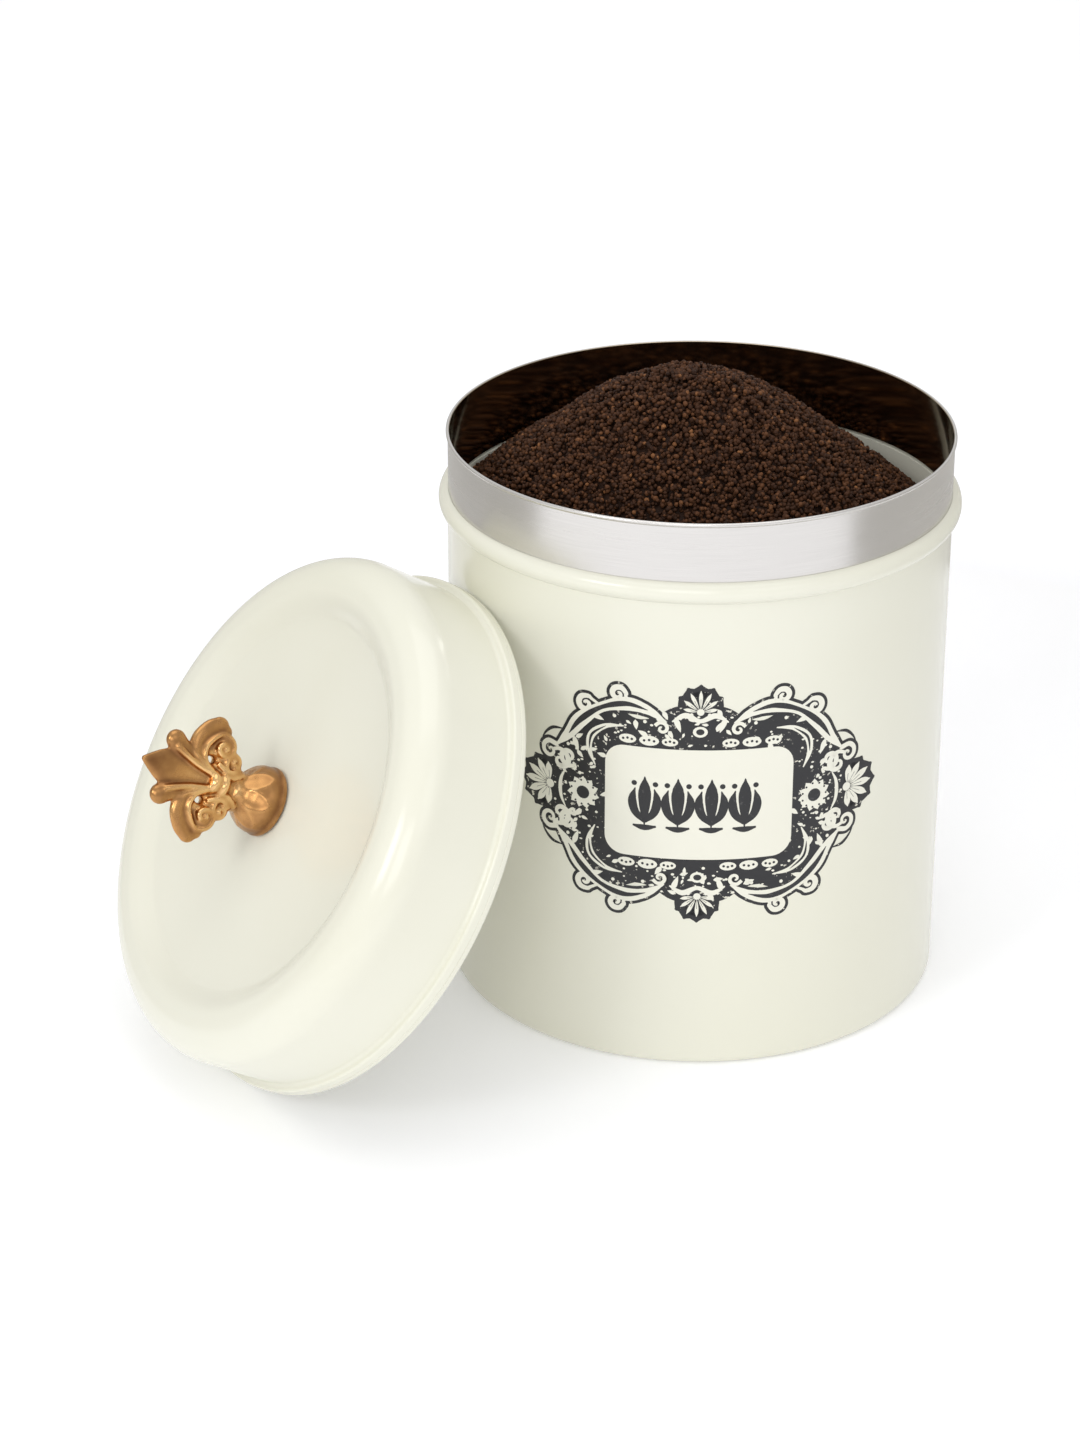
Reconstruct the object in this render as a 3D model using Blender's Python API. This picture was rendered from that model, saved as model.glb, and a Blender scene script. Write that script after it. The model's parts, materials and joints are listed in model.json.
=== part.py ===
"""A round kitchen tin with a bright neck collar, and its lid with a cast fleur-de-lis knob.

Metres, +Z up. The origin is the centre of the tin's base, on the surface that it stands on, and
the decorated front faces -Y. The lid is off: it stands on its rolled hem and leans on the wall.
"""

from math import acos, cos, degrees, pi, radians, sin, sqrt

import bmesh
import bpy
from mathutils import Matrix, Vector

# ---------------------------------------------------------------- driving dimensions
GAP = 0.0003  # left between pieces that touch
ROUND = 64  # facets round the tin and the lid
SMALL_ROUND = 32  # facets round the knob's foot, the screw and the washer

BODY_RADIUS = 0.0700  # outside of the wall
BODY_HEIGHT = 0.1454  # base to the top of the rolled bead
WALL_SHEET = 0.0005
BASE_CORNER = 0.0024  # outside radius where the wall turns under
BASE_LIP = 0.0040  # width of the turned-in lip beyond that corner
BEAD_ROUND = 0.0030  # outside radius of the bead's roll
BEAD_SETBACK = 0.0006  # the roll's centre lies this far inside the wall's face

PAN_SHEET = 0.0005
PAN_FLANGE = 0.0065  # height of the pan's flange above its rounded corner

COLLAR_SETBACK = 0.0002  # the collar's face lies this far inside the wall's face
COLLAR_SHEET = 0.0004
NECK_SHOWING = 0.0166  # bright collar above the bead
LIP_PROUD = 0.0009  # the curled edge stands out from the collar
LIP_HEIGHT = 0.0012
LIP_TUCK = 0.0004  # the collar's inner edge ends this far below its top

LID_CLEARANCE = 0.00035  # between the skirt's inside and the collar's lip
LID_SHEET = 0.00045
LID_HEIGHT = 0.0329  # hem's edge to the crown
SHOULDER_ROUND = 0.0096
PANEL_DROP = 0.0038  # the lid's flat middle panel, below the crown
PANEL_SLOPE = 0.0080  # width of the rise from panel to crown
CROWN_WIDTH = 0.0019  # level ring between that rise and the shoulder
HEM_PROUD = 0.0022
HEM_HEIGHT = 0.0038
HEM_ROUND = 0.0007

LEAN_AZIMUTH = radians(207.0)  # the way the lid's top faces, seen from above
LEAN_RISE = radians(31.6)  # and how far above level it faces
LEAN_BEARING = radians(208.35)  # where the lid stands round the tin

KNOB_TURN = radians(110.0)  # the knob's width, from the lid's level direction
KNOB_LENGTH = 0.0401
KNOB_HALF_WIDTH = 0.0174
KNOB_THICKNESS = 0.0070
PETAL_EDGE = 0.00105  # rounding of the petals' edges
FOOT_RADIUS = 0.0105
FOOT_HEIGHT = 0.0090
FOOT_FLANGE = 0.0016  # upright edge under the foot's bell
BELL_SWEEP = 0.8  # 1 is a plain sine curve, less is fuller
NECK_RADIUS = 0.0044
NECK_REACH = 0.0036  # the foot's neck runs this far up inside the petals
PETAL_ROOT = 0.0018  # and the petals this far down inside the neck
ROOT_INSET = 0.0004  # both ends are narrower than the neck by this much
KNOT_RADIUS = 0.0050
KNOT_HEIGHT = 0.0048
EYE_RADIUS = 0.0012  # small holes through the curled petals
EYE_ROUND = 12  # facets round each of them

# The petals' right-hand edge from the waist to the tip, as shares of the knob's half width and length.
PETAL_CURL = ((0.37, 0.27), (0.57, 0.36), (0.78, 0.42))
PETAL_SIDE = ((0.97, 0.48), (1.00, 0.56), (0.80, 0.64))
PETAL_NOTCH = ((0.47, 0.70),)
PETAL_LOBE = ((0.58, 0.77), (0.52, 0.85), (0.36, 0.87))
PETAL_TIP = ((0.25, 0.865), (0.12, 0.95), (0.0, 1.0))
EYE_PLACE = (0.33, 0.535)  # in the same shares
KNOT_PLACE = 0.43

SCREW_RADIUS = 0.0020
SCREW_CLEARANCE = 0.0003
SCREW_GRIP = 0.0070  # length inside the knob
SCREW_CHAMFER = 0.0005
BORE_SPARE = 0.0010  # the knob's bore is this much deeper than the screw
HEAD_RADIUS = 0.0040
HEAD_HEIGHT = 0.0024
HEAD_RIM = 0.0008  # upright edge of the head, under its dome
SLOT_WIDTH = 0.0009
SLOT_DEPTH = 0.0011
WASHER_RADIUS = 0.0055
WASHER_THICKNESS = 0.0008

# ---------------------------------------------------------------- sizes that follow from them
WALL_INSIDE = BODY_RADIUS - WALL_SHEET
COLLAR_RADIUS = BODY_RADIUS - COLLAR_SETBACK
LIP_RADIUS = COLLAR_RADIUS + LIP_PROUD
NECK_TOP = BODY_HEIGHT + NECK_SHOWING
BEAD_CENTRE = BODY_RADIUS - BEAD_SETBACK
BEAD_MOUTH = COLLAR_RADIUS + GAP  # the bead's edge closes on the collar
BEAD_LEVEL = BODY_HEIGHT - sqrt(BEAD_ROUND**2 - (BEAD_MOUTH - BEAD_CENTRE) ** 2)
SKIRT_INSIDE = LIP_RADIUS + LID_CLEARANCE
SKIRT_RADIUS = SKIRT_INSIDE + LID_SHEET
HEM_RADIUS = SKIRT_RADIUS + HEM_PROUD
PANEL_RADIUS = SKIRT_RADIUS - SHOULDER_ROUND - CROWN_WIDTH - PANEL_SLOPE
PANEL_TOP = LID_HEIGHT - PANEL_DROP
PANEL_UNDERSIDE = PANEL_TOP - LID_SHEET
WASHER_TOP = PANEL_UNDERSIDE - GAP
HEAD_TOP = WASHER_TOP - WASHER_THICKNESS - GAP
HEAD_LOW = HEAD_TOP - HEAD_HEIGHT
KNOB_SEAT = PANEL_TOP + GAP
HOLE_RADIUS = SCREW_RADIUS + SCREW_CLEARANCE


# ---------------------------------------------------------------- helpers
def material(name, colour, roughness, metallic):
    """A plain Principled finish."""
    made = bpy.data.materials.new(name)
    made.use_nodes = True
    shader = made.node_tree.nodes["Principled BSDF"]
    shader.inputs["Base Color"].default_value = (*colour, 1.0)
    shader.inputs["Roughness"].default_value = roughness
    shader.inputs["Metallic"].default_value = metallic
    return made


def arc(centre, radius, start, end, steps):
    """Points (r, z) along an arc, angles in degrees from +r towards +z."""
    turned = []
    for step in range(steps + 1):
        angle = radians(start + (end - start) * step / steps)
        turned.append((centre[0] + radius * cos(angle), centre[1] + radius * sin(angle)))
    return turned


def add_object(name, mesh_maker, finish, parent=None, smooth_angle=30.0):
    """Turns a filled bmesh into a named object with its finish."""
    mesh = bpy.data.meshes.new(name)
    mesh_maker.to_mesh(mesh)
    mesh_maker.free()
    mesh.shade_smooth()
    mesh.set_sharp_from_angle(angle=radians(smooth_angle))
    made = bpy.data.objects.new(name, mesh)
    made.data.materials.append(finish)
    bpy.context.collection.objects.link(made)
    made.parent = parent
    return made


def turned(profile, facets):
    """A closed body of revolution about Z from a closed loop of (r, z) points."""
    body = bmesh.new()
    points = [body.verts.new((r, 0.0, z)) for r, z in profile]
    edges = [body.edges.new((a, b)) for a, b in zip(points, points[1:] + points[:1])]
    bmesh.ops.spin(
        body,
        geom=points + edges,
        cent=(0, 0, 0),
        axis=(0, 0, 1),
        angle=2 * pi,
        steps=facets,
        use_merge=True,
    )
    bmesh.ops.remove_doubles(body, verts=body.verts, dist=1e-6)
    bmesh.ops.dissolve_degenerate(body, edges=body.edges, dist=1e-7)
    on_axis = [edge for edge in body.edges if not edge.link_faces]
    bmesh.ops.delete(body, geom=on_axis, context="EDGES")
    bmesh.ops.recalc_face_normals(body, faces=body.faces)
    return body


def empty(name, parent=None, matrix=None):
    """A place and a direction that other objects are parented to."""
    made = bpy.data.objects.new(name, None)
    bpy.context.collection.objects.link(made)
    made.parent = parent
    if matrix is not None:
        made.matrix_local = matrix
    return made


def boolean(target, cutter, operation):
    """Applies a cutter, or a piece to be joined, as a live exact Boolean."""
    step = target.modifiers.new(cutter.name, "BOOLEAN")
    step.operation = operation
    step.object = cutter
    step.solver = "EXACT"
    cutter.hide_render = True
    cutter.display_type = "WIRE"


# ---------------------------------------------------------------- the tin
def wall_profile():
    """The rolled sheet: turned-in lip, corner, straight wall and the bead that grips the collar."""
    corner = (BODY_RADIUS - BASE_CORNER, BASE_CORNER)
    lip_edge = corner[0] - BASE_LIP
    roll = (BEAD_CENTRE, BEAD_LEVEL)
    inner_round = BEAD_ROUND - WALL_SHEET
    start = -degrees(acos(BEAD_SETBACK / BEAD_ROUND))
    end = degrees(acos((BEAD_MOUTH - BEAD_CENTRE) / BEAD_ROUND))
    inner_start = -degrees(acos((WALL_INSIDE - BEAD_CENTRE) / inner_round))
    inner_end = degrees(acos((BEAD_MOUTH - BEAD_CENTRE) / inner_round))
    outside = [(lip_edge, 0.0)] + arc(corner, BASE_CORNER, -90, 0, 4)
    outside += arc(roll, BEAD_ROUND, start, end, 8)
    inside = arc(roll, inner_round, inner_end, inner_start, 6)
    inside += arc(corner, BASE_CORNER - WALL_SHEET, 0, -90, 3) + [(lip_edge, WALL_SHEET)]
    return outside + inside


def pan_profile():
    """The base: a flat floor flush with the lip, joggled over it, with a flange inside the wall."""
    corner = (BODY_RADIUS - BASE_CORNER, BASE_CORNER)
    outer_round = BASE_CORNER - WALL_SHEET - GAP
    step_up = WALL_SHEET + GAP
    foot = corner[0] - BASE_LIP - GAP
    flange = corner[0] + outer_round
    flange_top = corner[1] + PAN_FLANGE
    under = [(0.0, 0.0), (foot - step_up, 0.0), (foot, step_up)]
    under += arc(corner, outer_round, -90, 0, 3)
    rim = [(flange, flange_top), (flange - PAN_SHEET, flange_top)]
    over = arc(corner, outer_round - PAN_SHEET, 0, -90, 2)
    over += [(foot - PAN_SHEET / 2, step_up + PAN_SHEET)]
    over += [(foot - step_up - PAN_SHEET / 2, PAN_SHEET), (0.0, PAN_SHEET)]
    return under + rim + over


def collar_profile():
    """The bright ring: a straight band tucked into the bead, its top edge curled outwards."""
    tail = BEAD_LEVEL - BEAD_ROUND / 2  # half way down the bead's hollow
    inside = COLLAR_RADIUS - COLLAR_SHEET
    curl = (LIP_RADIUS - LIP_HEIGHT / 2, NECK_TOP - LIP_HEIGHT / 2)
    outside = [(COLLAR_RADIUS, tail), (COLLAR_RADIUS, NECK_TOP - LIP_HEIGHT)]
    outside += arc(curl, LIP_HEIGHT / 2, -60, 90, 4)
    return outside + [(inside, NECK_TOP - LIP_TUCK), (inside, tail)]


# ---------------------------------------------------------------- the lid
def lid_top_line(offset):
    """The panel, its rise to the crown and the shoulder, from the middle outwards."""
    panel = PANEL_TOP - offset
    shoulder = (SKIRT_RADIUS - SHOULDER_ROUND, LID_HEIGHT - SHOULDER_ROUND)
    line = [(HOLE_RADIUS, panel)]
    for step in range(5):  # an S-shaped rise
        share = step / 4
        rise = (1 - cos(pi * share)) / 2
        line.append((PANEL_RADIUS + PANEL_SLOPE * share, panel + PANEL_DROP * rise))
    return line + arc(shoulder, SHOULDER_ROUND - offset, 90, 0, 6)


def lid_profile():
    """The pressed lid: top, skirt and the rolled hem at its edge."""
    hem = [(SKIRT_RADIUS, HEM_HEIGHT + HEM_ROUND)]
    hem += arc((HEM_RADIUS - HEM_ROUND, HEM_HEIGHT - HEM_ROUND), HEM_ROUND, 90, 0, 2)
    hem += arc((HEM_RADIUS - HEM_ROUND, HEM_ROUND), HEM_ROUND, 0, -90, 2)
    hem += [(SKIRT_INSIDE + HEM_ROUND, 0.0), (SKIRT_INSIDE, HEM_ROUND)]
    return lid_top_line(0.0) + hem + list(reversed(lid_top_line(LID_SHEET)))


def lean_matrix():
    """Puts the lid down: its hem on the floor, and leaning until the hem meets the wall."""
    facing = Vector(
        (cos(LEAN_RISE) * cos(LEAN_AZIMUTH), cos(LEAN_RISE) * sin(LEAN_AZIMUTH), sin(LEAN_RISE))
    )
    level = Vector((0, 0, 1)).cross(facing).normalized()
    uphill = facing.cross(level)
    bearing = Vector((cos(LEAN_BEARING), sin(LEAN_BEARING), 0))
    core = HEM_RADIUS - HEM_ROUND  # the circle that the hem's rounded edge is swept along
    height = core * cos(LEAN_RISE) + HEM_ROUND * (1 - sin(LEAN_RISE))
    hem = [
        HEM_ROUND * facing + core * (cos(radians(angle)) * level + sin(radians(angle)) * uphill)
        for angle in range(360)
    ]
    near, far = BODY_RADIUS, BODY_RADIUS + 2 * HEM_RADIUS
    for _ in range(40):  # halves the distance until the hem just clears the wall
        middle = (near + far) / 2
        closest = min((bearing * middle + point).to_2d().length for point in hem)
        if closest < BODY_RADIUS + HEM_ROUND + GAP:
            near = middle
        else:
            far = middle
    centre = bearing * far + Vector((0, 0, height))
    turn = Matrix((level, uphill, facing)).transposed().to_4x4()
    return Matrix.Translation(centre) @ turn


# ---------------------------------------------------------------- the knob
def smooth_line(points, steps):
    """A Catmull-Rom line through points, open at both ends."""
    padded = [points[0]] + points + [points[-1]]
    line = []
    for index in range(1, len(padded) - 2):
        before, here, there, after = (Vector(p) for p in padded[index - 1 : index + 3])
        for step in range(steps):
            t = step / steps
            line.append(
                0.5
                * (
                    2 * here
                    + (there - before) * t
                    + (2 * before - 5 * here + 4 * there - after) * t**2
                    + (3 * here - before - 3 * there + after) * t**3
                )
            )
    return line + [Vector(points[-1])]


def petal_outline():
    """The flat outline of knot and petals, mirrored from one side, as (across, along)."""
    shares = PETAL_CURL + PETAL_SIDE + PETAL_NOTCH + PETAL_LOBE + PETAL_TIP
    root = (NECK_RADIUS - ROOT_INSET, FOOT_HEIGHT - PETAL_ROOT)
    edge = [(across * KNOB_HALF_WIDTH, along * KNOB_LENGTH) for across, along in shares]
    right = smooth_line([root] + edge, 2)
    left = [Vector((-point.x, point.y)) for point in reversed(right[:-1])]
    return right + left


def petals():
    """The outline as a plate about the knob's axis, its edges rounded."""
    plate = bmesh.new()
    front = [plate.verts.new((p.x, -KNOB_THICKNESS / 2, p.y)) for p in petal_outline()]
    face = plate.faces.new(front)
    pushed = bmesh.ops.extrude_face_region(plate, geom=[face])
    moved = [item for item in pushed["geom"] if isinstance(item, bmesh.types.BMVert)]
    bmesh.ops.translate(plate, verts=moved, vec=(0, KNOB_THICKNESS, 0))
    flat = [f for f in plate.faces if len(f.verts) > 4]
    edges = list({edge for f in flat for edge in f.edges})
    bmesh.ops.bevel(
        plate,
        geom=edges,
        offset=PETAL_EDGE,
        offset_type="OFFSET",
        segments=2,
        profile=0.5,
        affect="EDGES",
        clamp_overlap=True,
        material=-1,
    )
    bmesh.ops.recalc_face_normals(plate, faces=plate.faces)
    return plate


def foot_profile():
    """The bell-shaped foot, from its flat underside up to the neck."""
    line = [(0.0, 0.0), (FOOT_RADIUS - FOOT_FLANGE / 2, 0.0)]
    line += [(FOOT_RADIUS, FOOT_FLANGE / 2), (FOOT_RADIUS, FOOT_FLANGE)]
    for step in range(1, 7):  # a bell that sweeps in to the neck
        share = step / 6
        flare = (1 - sin(share * pi / 2)) ** BELL_SWEEP
        radius = NECK_RADIUS + (FOOT_RADIUS - NECK_RADIUS) * flare
        line.append((radius, FOOT_FLANGE + (FOOT_HEIGHT - FOOT_FLANGE) * share))
    end = FOOT_HEIGHT + NECK_REACH
    return line + [(NECK_RADIUS - ROOT_INSET, end), (0.0, end)]


def knot_profile():
    """The band wrapped round the petals' waist."""
    centre = KNOT_PLACE * KNOB_LENGTH
    flatten = KNOT_HEIGHT / 2 / KNOT_RADIUS
    return [(r, centre + z * flatten) for r, z in arc((0.0, 0.0), KNOT_RADIUS, -90, 90, 8)]


def screw_profile():
    """Head below the panel, shank through the hole and up into the knob."""
    end = KNOB_SEAT + SCREW_GRIP
    flatten = (HEAD_HEIGHT - HEAD_RIM) / HEAD_RADIUS
    quarter = arc((0.0, 0.0), HEAD_RADIUS, -90, 0, 6)
    dome = [(r, HEAD_TOP - HEAD_RIM + z * flatten) for r, z in quarter]
    shank = [(HEAD_RADIUS, HEAD_TOP), (SCREW_RADIUS, HEAD_TOP), (SCREW_RADIUS, end - SCREW_CHAMFER)]
    return dome + shank + [(SCREW_RADIUS - SCREW_CHAMFER, end), (0.0, end)]


def washer_profile():
    """A plain ring between the panel and the screw's head."""
    low = WASHER_TOP - WASHER_THICKNESS
    bottom = [(HOLE_RADIUS, low), (WASHER_RADIUS, low)]
    return bottom + [(WASHER_RADIUS, WASHER_TOP), (HOLE_RADIUS, WASHER_TOP)]


def rod(radius, depth, facets=SMALL_ROUND):
    """A plain cylinder along Z about the origin, for cutters."""
    made = bmesh.new()
    bmesh.ops.create_cone(
        made, cap_ends=True, segments=facets, radius1=radius, radius2=radius, depth=depth
    )
    return made


def block(size):
    """A plain box about the origin, for the screw's slot."""
    made = bmesh.new()
    bmesh.ops.create_cube(made, size=1.0, matrix=Matrix.Diagonal((*size, 1.0)))
    return made


# ---------------------------------------------------------------- assembly
def build_tin(cream, bright):
    add_object("canister_wall", turned(wall_profile(), ROUND), cream)
    add_object("base_pan", turned(pan_profile(), ROUND), cream)
    add_object("neck_collar", turned(collar_profile(), ROUND), bright)


def build_lid(cream, bright, bronze):
    lean = empty("lid_rest", matrix=lean_matrix())
    add_object("lid_shell", turned(lid_profile(), ROUND), cream, lean)
    add_object("lid_washer", turned(washer_profile(), SMALL_ROUND), bright, lean)

    axis = empty("knob_axis", lean, Matrix.Rotation(KNOB_TURN, 4, "Z"))
    screw = add_object("knob_screw", turned(screw_profile(), SMALL_ROUND), bright, axis)
    slot_size = (3 * HEAD_RADIUS, SLOT_WIDTH, 2 * SLOT_DEPTH)
    slot = add_object("slot_cutter", block(slot_size), bright, axis)
    slot.location.z = HEAD_LOW
    boolean(screw, slot, "DIFFERENCE")

    seat = Matrix.Translation((0, 0, KNOB_SEAT))
    casting = add_object("knob_casting", petals(), bronze, axis, 40.0)
    casting.matrix_local = seat
    for side in (-1, 1):
        drill = rod(EYE_RADIUS, 4 * KNOB_THICKNESS, EYE_ROUND)
        eye = add_object(f"eye_cutter_{side}", drill, bronze, axis)
        across, along = EYE_PLACE
        place = Matrix.Translation((side * across * KNOB_HALF_WIDTH, 0, along * KNOB_LENGTH))
        eye.matrix_local = seat @ place @ Matrix.Rotation(pi / 2, 4, "X")
        boolean(casting, eye, "DIFFERENCE")
    for name, profile in (("foot_guide", foot_profile()), ("knot_guide", knot_profile())):
        piece = add_object(name, turned(profile, SMALL_ROUND), bronze, axis)
        piece.matrix_local = seat
        boolean(casting, piece, "UNION")
    bore = add_object("bore_cutter", rod(HOLE_RADIUS, 2 * (SCREW_GRIP + BORE_SPARE)), bronze, axis)
    bore.matrix_local = seat
    boolean(casting, bore, "DIFFERENCE")


def main():
    for old in list(bpy.data.objects):
        bpy.data.objects.remove(old, do_unlink=True)
    cream = material("cream_enamel", (0.83, 0.80, 0.69), 0.30, 0.0)
    bright = material("bright_steel", (0.66, 0.65, 0.64), 0.25, 1.0)
    bronze = material("bronze_gilt", (0.50, 0.30, 0.13), 0.40, 1.0)
    build_tin(cream, bright)
    build_lid(cream, bright, bronze)


main()
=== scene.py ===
# %% [markdown]
# # A kitchen tin with a bright neck, its lid and a cast knob
#
# The tin is rolled from sheet steel and enamelled cream. A bright collar stands out of its neck,
# and the push-on lid leans beside it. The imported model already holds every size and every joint, so
# this script only gives each piece its fine surface and its finish. Each piece goes where the model
# has it.

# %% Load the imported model
import json
import math
import bmesh
import bpy
import numpy as np
from mathutils import Matrix, Vector


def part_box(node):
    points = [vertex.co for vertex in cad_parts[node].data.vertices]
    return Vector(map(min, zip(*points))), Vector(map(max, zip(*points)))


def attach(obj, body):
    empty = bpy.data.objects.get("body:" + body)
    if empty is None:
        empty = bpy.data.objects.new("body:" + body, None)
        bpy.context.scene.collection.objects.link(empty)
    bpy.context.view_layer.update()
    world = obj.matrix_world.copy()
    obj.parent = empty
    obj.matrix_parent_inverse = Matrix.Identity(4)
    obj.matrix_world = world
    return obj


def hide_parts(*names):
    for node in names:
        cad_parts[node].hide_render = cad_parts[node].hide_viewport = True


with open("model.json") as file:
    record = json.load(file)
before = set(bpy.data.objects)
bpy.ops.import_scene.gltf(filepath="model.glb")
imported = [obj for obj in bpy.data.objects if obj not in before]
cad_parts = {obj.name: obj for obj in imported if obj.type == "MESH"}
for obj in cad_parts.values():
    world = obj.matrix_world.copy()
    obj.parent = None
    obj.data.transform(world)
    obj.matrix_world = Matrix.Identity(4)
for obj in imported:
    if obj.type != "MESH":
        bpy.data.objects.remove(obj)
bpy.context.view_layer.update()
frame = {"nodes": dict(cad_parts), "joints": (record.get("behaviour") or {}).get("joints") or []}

print("nodes:", ", ".join(sorted(frame["nodes"])))

# %% [markdown]
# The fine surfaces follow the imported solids, so the main sizes are read from those. The collar's
# box gives the neck, and the joint of the knob gives the lean of the lid: its axis is the axis of
# the lid.

# %% Sizes read from the model
MM = 0.001
bead_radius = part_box("canister_wall")[1].x
body_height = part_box("canister_wall")[1].z
lip_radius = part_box("neck_collar")[1].x
collar_tail, neck_top = (corner.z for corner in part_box("neck_collar"))
pan_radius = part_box("base_pan")[1].x
BEAD_PROUD = 2.4 * MM  # the bead stands this far out of the wall
body_radius = bead_radius - BEAD_PROUD
print("body radius", round(body_radius / MM, 2), "mm, neck top", round(neck_top / MM, 2), "mm")

knob_joint = next(joint for joint in frame["joints"] if joint["name"] == "knob_turn")
facing = Vector(knob_joint["axis"]).normalized()
level = Vector((0, 0, 1)).cross(facing).normalized()
uphill = facing.cross(level)
panel_top = 29.1 * MM  # the lid's flat panel above the edge of its hem
KNOB_GAP = 0.3 * MM
KNOB_TURN = math.radians(110)
hem_centre = Vector(knob_joint["pos_m"]) - facing * panel_top
LID_PLACE = Matrix.Translation(hem_centre) @ Matrix((level, uphill, facing)).transposed().to_4x4()
KNOB_PLACE = LID_PLACE @ Matrix.Rotation(KNOB_TURN, 4, "Z")
KNOB_PLACE = KNOB_PLACE @ Matrix.Translation((0, 0, panel_top + KNOB_GAP))
print("the lid faces", [round(number, 3) for number in facing])

# %% [markdown]
# ## Camera, floor and light
#
# The tin is seen from a little above with a long lens, so its sides hardly converge. Three soft
# lamps stand in front of it: the strongest to the left, one in the middle and a weak one to the
# right. A large one hangs overhead, and a pale sky fills what they leave.

# %% Camera
camera_data = bpy.data.cameras.new("camera")
camera_data.sensor_width = 36.0  # lens and sensor are in millimetres
camera_data.lens = 91.04
camera_data.clip_start = 0.05
camera_data.clip_end = 50.0
camera = bpy.data.objects.new("camera", camera_data)
CAMERA_TARGET = Vector((-0.04431, 0.0, 0.07238))
CAMERA_RISE = math.radians(25.64)
CAMERA_DISTANCE = 1.0409
looking = Vector((0, math.cos(CAMERA_RISE), -math.sin(CAMERA_RISE)))
camera.location = CAMERA_TARGET - looking * CAMERA_DISTANCE
camera.rotation_mode = "QUATERNION"
camera.rotation_quaternion = looking.to_track_quat("-Z", "Y")
bpy.context.scene.collection.objects.link(camera)
bpy.context.scene.camera = camera
bpy.context.scene.view_settings.view_transform = "Standard"
print("camera at", [round(number, 3) for number in camera.location])


# %% Lamps and sky
def lamp(name, place, aim, size, power):
    """A square soft lamp that points at a spot: sizes in metres, power in watts."""
    data = bpy.data.lights.new(name, "AREA")
    data.shape = "SQUARE"
    data.size = size
    data.energy = power
    made = bpy.data.objects.new(name, data)
    made.location = place
    made.rotation_mode = "QUATERNION"
    made.rotation_quaternion = (Vector(aim) - Vector(place)).to_track_quat("-Z", "Y")
    bpy.context.scene.collection.objects.link(made)


lamp("right", (1.0, -1.5, 1.5), (0.0, 0.0, 0.08), 1.0, 2.2)
lamp("front", (-0.3, -2.0, 1.1), (0.0, 0.0, 0.07), 0.9, 6.0)
lamp("left", (-1.3, -1.3, 1.2), (-0.05, 0.0, 0.06), 0.6, 7.0)
lamp("top", (0.0, 0.1, 2.0), (0.0, 0.0, 0.0), 1.6, 8.5)

WHITE = (1.0, 1.0, 1.0, 1.0)
SKY_STRENGTH = 0.73
sky = bpy.data.worlds.new("sky")
sky.use_nodes = True
sky_shader = sky.node_tree.nodes["Background"]
sky_shader.inputs["Color"].default_value = WHITE
sky_shader.inputs["Strength"].default_value = SKY_STRENGTH
bpy.context.scene.world = sky

# %% [markdown]
# ## Writing a finish as a sum
#
# A finish is a small network of nodes. Here each socket is wrapped in a class whose sums add Math
# nodes, so a mask reads like arithmetic, and one method adds every other kind of node.


# %% Sockets that add up
class Socket:
    """An output socket of one material. Sums on it add Math nodes."""

    def __init__(self, tree, socket=None):
        self.tree = tree
        self.socket = socket

    def add(self, kind, settings=(), sockets=(), output=0):
        """Adds a node: its settings first, then a value or a link for each socket that is named."""
        made = self.tree.nodes.new("ShaderNode" + kind)
        for name, value in dict(settings).items():
            if name == "stops":
                ramp = made.color_ramp.elements
                while len(ramp) < len(value):
                    ramp.new(1.0)
                for element, (position, colour) in zip(ramp, value):
                    element.position = position
                    element.color = (*colour, 1.0)
            else:
                setattr(made, name, value)
        for name, value in dict(sockets).items():
            self.feed(made.inputs[name], value)
        return Socket(self.tree, made.outputs[output])

    def feed(self, plug, value):
        """Gives an input socket a link, or a plain value."""
        if isinstance(value, Socket):
            self.tree.links.new(value.socket, plug)
        elif hasattr(value, "__len__") and plug.type == "RGBA" and len(value) == 3:
            plug.default_value = (*value, 1.0)
        else:
            plug.default_value = value

    def math(self, operation, *others):
        """A Math node on this socket and up to two more values."""
        return self.add("Math", {"operation": operation}, dict(enumerate((self, *others))))

    def __add__(self, other):
        return self.math("ADD", other)

    def __sub__(self, other):
        return self.math("SUBTRACT", other)

    def __mul__(self, other):
        return self.math("MULTIPLY", other)

    def __rsub__(self, other):
        return self.add("Math", {"operation": "SUBTRACT"}, {0: other, 1: self})

    __radd__ = __add__
    __rmul__ = __mul__

    def between(self, low, high):
        """0 below low, 1 above high, and a smooth rise between them."""
        settings = {"interpolation_type": "SMOOTHSTEP"}
        return self.add("MapRange", settings, {0: self, 1: low, 2: high})

    def mix(self, first, second):
        """A colour from first to second, as this socket goes from 0 to 1."""
        return self.add("Mix", {"data_type": "RGBA"}, {0: self, 6: first, 7: second}, 2)

    def noise(self, scale, detail=2.0, roughness=0.5):
        """Soft cloudy values about 0.5, on coordinates in metres."""
        sockets = {"Vector": self, "Scale": scale, "Detail": detail, "Roughness": roughness}
        return self.add("TexNoise", {}, sockets)

    def bump(self, distance, strength=1.0):
        """A normal that tilts as this height does, in metres."""
        return self.add("Bump", {}, {"Height": self, "Distance": distance, "Strength": strength})

    def stretched(self, scale):
        """These coordinates scaled along each axis."""
        return self.add("Mapping", {}, {"Vector": self, "Scale": scale})


def finish(name, **values):
    """A new Principled finish. Returns it, its shader and its object coordinates."""
    made = bpy.data.materials.new(name)
    made.use_nodes = True
    shader = made.node_tree.nodes["Principled BSDF"]
    for socket, value in values.items():
        Socket(made.node_tree).feed(shader.inputs[socket.replace("_", " ")], value)
    return made, shader, Socket(made.node_tree).add("TexCoord", output=3)


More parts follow.
